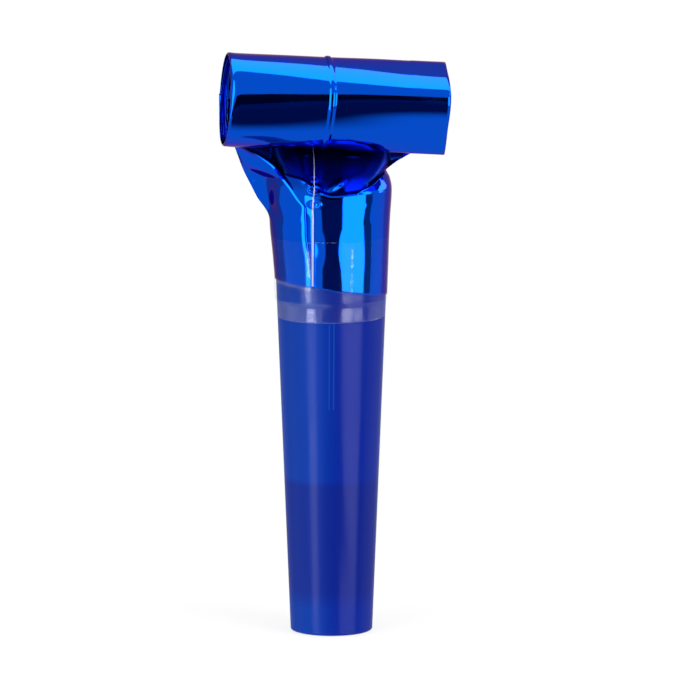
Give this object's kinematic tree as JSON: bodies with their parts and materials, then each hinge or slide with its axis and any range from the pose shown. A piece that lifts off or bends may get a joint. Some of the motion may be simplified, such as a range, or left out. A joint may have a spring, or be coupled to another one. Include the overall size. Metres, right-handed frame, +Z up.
{
  "type": "party horn blower",
  "caption": "Party horn blower: tapered mouthpiece with a reed inside, and a taped metallised film tube that a curled spring strip keeps rolled up until it is blown out.",
  "frame": {"origin": "centre of the mouth end of the mouthpiece, in the plane that the part stands on", "axes": "+Z up the mouthpiece to the roll, +X along the roll, -Y to the front, which the roll hangs over"},
  "size_m": [0.051, 0.0311, 0.1325],
  "materials": {
    "mouthpiece_plastic": "translucent blue moulded plastic, smooth",
    "reed_plastic": "blue moulded plastic",
    "tongue_plastic": "thin milky plastic blade",
    "metallised_film": "blue metallised film, mirror bright",
    "spring_plastic": "thin curled plastic strip",
    "clear_tape": "clear adhesive tape"
  },
  "bodies": {
    "horn": {"mouthpiece": "mouthpiece_plastic", "reed_holder": "reed_plastic", "reed_clip": "reed_plastic", "foil_collar": "metallised_film", "foil_throat": "metallised_film", "foil_run": "metallised_film", "spring_tail": "spring_plastic", "spring_run": "spring_plastic", "joint_tape": "clear_tape"},
    "reed": {"reed_tongue": "tongue_plastic"},
    "carrier": {"foil_lead": "metallised_film", "spring_lead": "spring_plastic"},
    "roll": {"foil_roll": "metallised_film", "spring_roll": "spring_plastic"}
  },
  "joints": [
    {"name": "unroll", "type": "slide", "parent": "horn", "child": "carrier", "axis": [0, 0, 1], "range_m": [0, 0.331], "stiffness_N_per_m": 1, "springref_m": -0.06, "deforming": ["foil_run", "spring_run"]},
    {"name": "roll_turn", "type": "hinge", "parent": "carrier", "child": "roll", "pos_m": [0, -0.0073, 0.1207], "axis": [0.9985, 0, -0.0541], "range_deg": [-2520.5, 0]},
    {"name": "reed_beat", "type": "hinge", "parent": "horn", "child": "reed", "pos_m": [0, -0.00015, 0.02445], "axis": [1, 0, 0], "range_deg": [-0.5, 2.8], "stiffness_Nm_per_rad": 0.0004}
  ],
  "couplings": [
    {"joint": "roll_turn", "follows": "unroll", "rad_per_m": -132.88}
  ]
}
